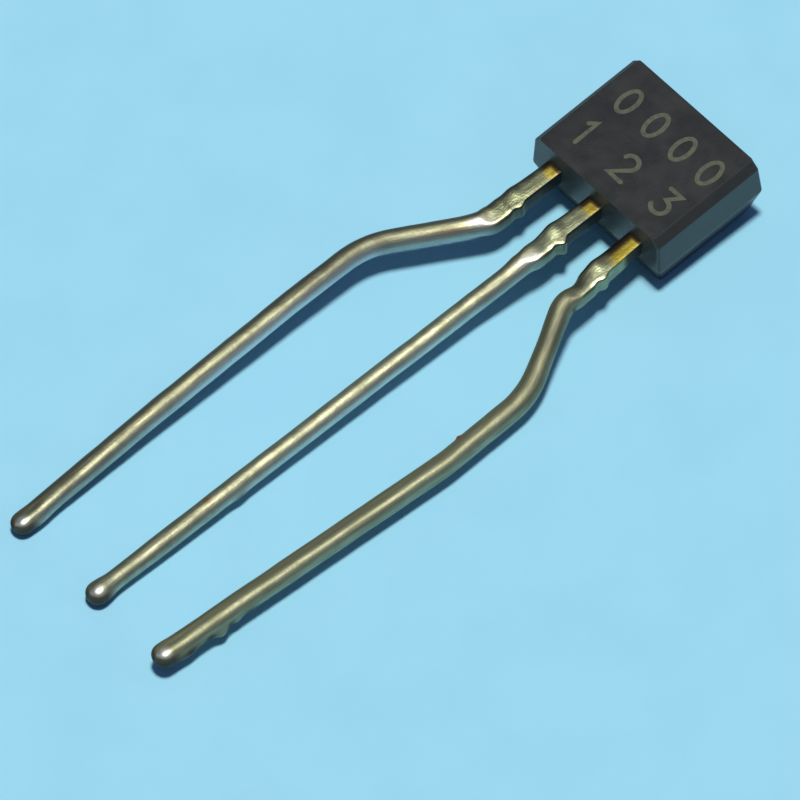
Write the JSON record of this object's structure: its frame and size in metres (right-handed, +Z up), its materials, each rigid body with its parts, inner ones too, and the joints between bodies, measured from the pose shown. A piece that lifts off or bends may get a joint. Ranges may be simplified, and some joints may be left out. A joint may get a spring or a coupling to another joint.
{
  "type": "transistor",
  "caption": "Small flat-bodied transistor in black epoxy with round solder-coated leads formed outwards, for through-hole soldering.",
  "frame": {"origin": "middle of the part's box, on the surface that it lies on", "axes": "+Z up, -Y along the leads towards their tips, +X from the emitter lead towards the base lead; the marked face looks up"},
  "size_m": [0.0058, 0.0178, 0.002],
  "materials": {
    "moulding_compound": "fine satin mould finish",
    "solder_coated_lead": "satin solder coat over copper alloy",
    "silicon": "polished",
    "die_attach_paste": "silver-filled paste",
    "bond_wire_gold": "drawn gold"
  },
  "bodies": {
    "root": {"body": "moulding_compound", "emitter_lead": "solder_coated_lead", "collector_lead": "solder_coated_lead", "base_lead": "solder_coated_lead", "die": "silicon", "die_attach": "die_attach_paste", "emitter_bond_wire": "bond_wire_gold", "base_bond_wire": "bond_wire_gold"}
  },
  "joints": []
}
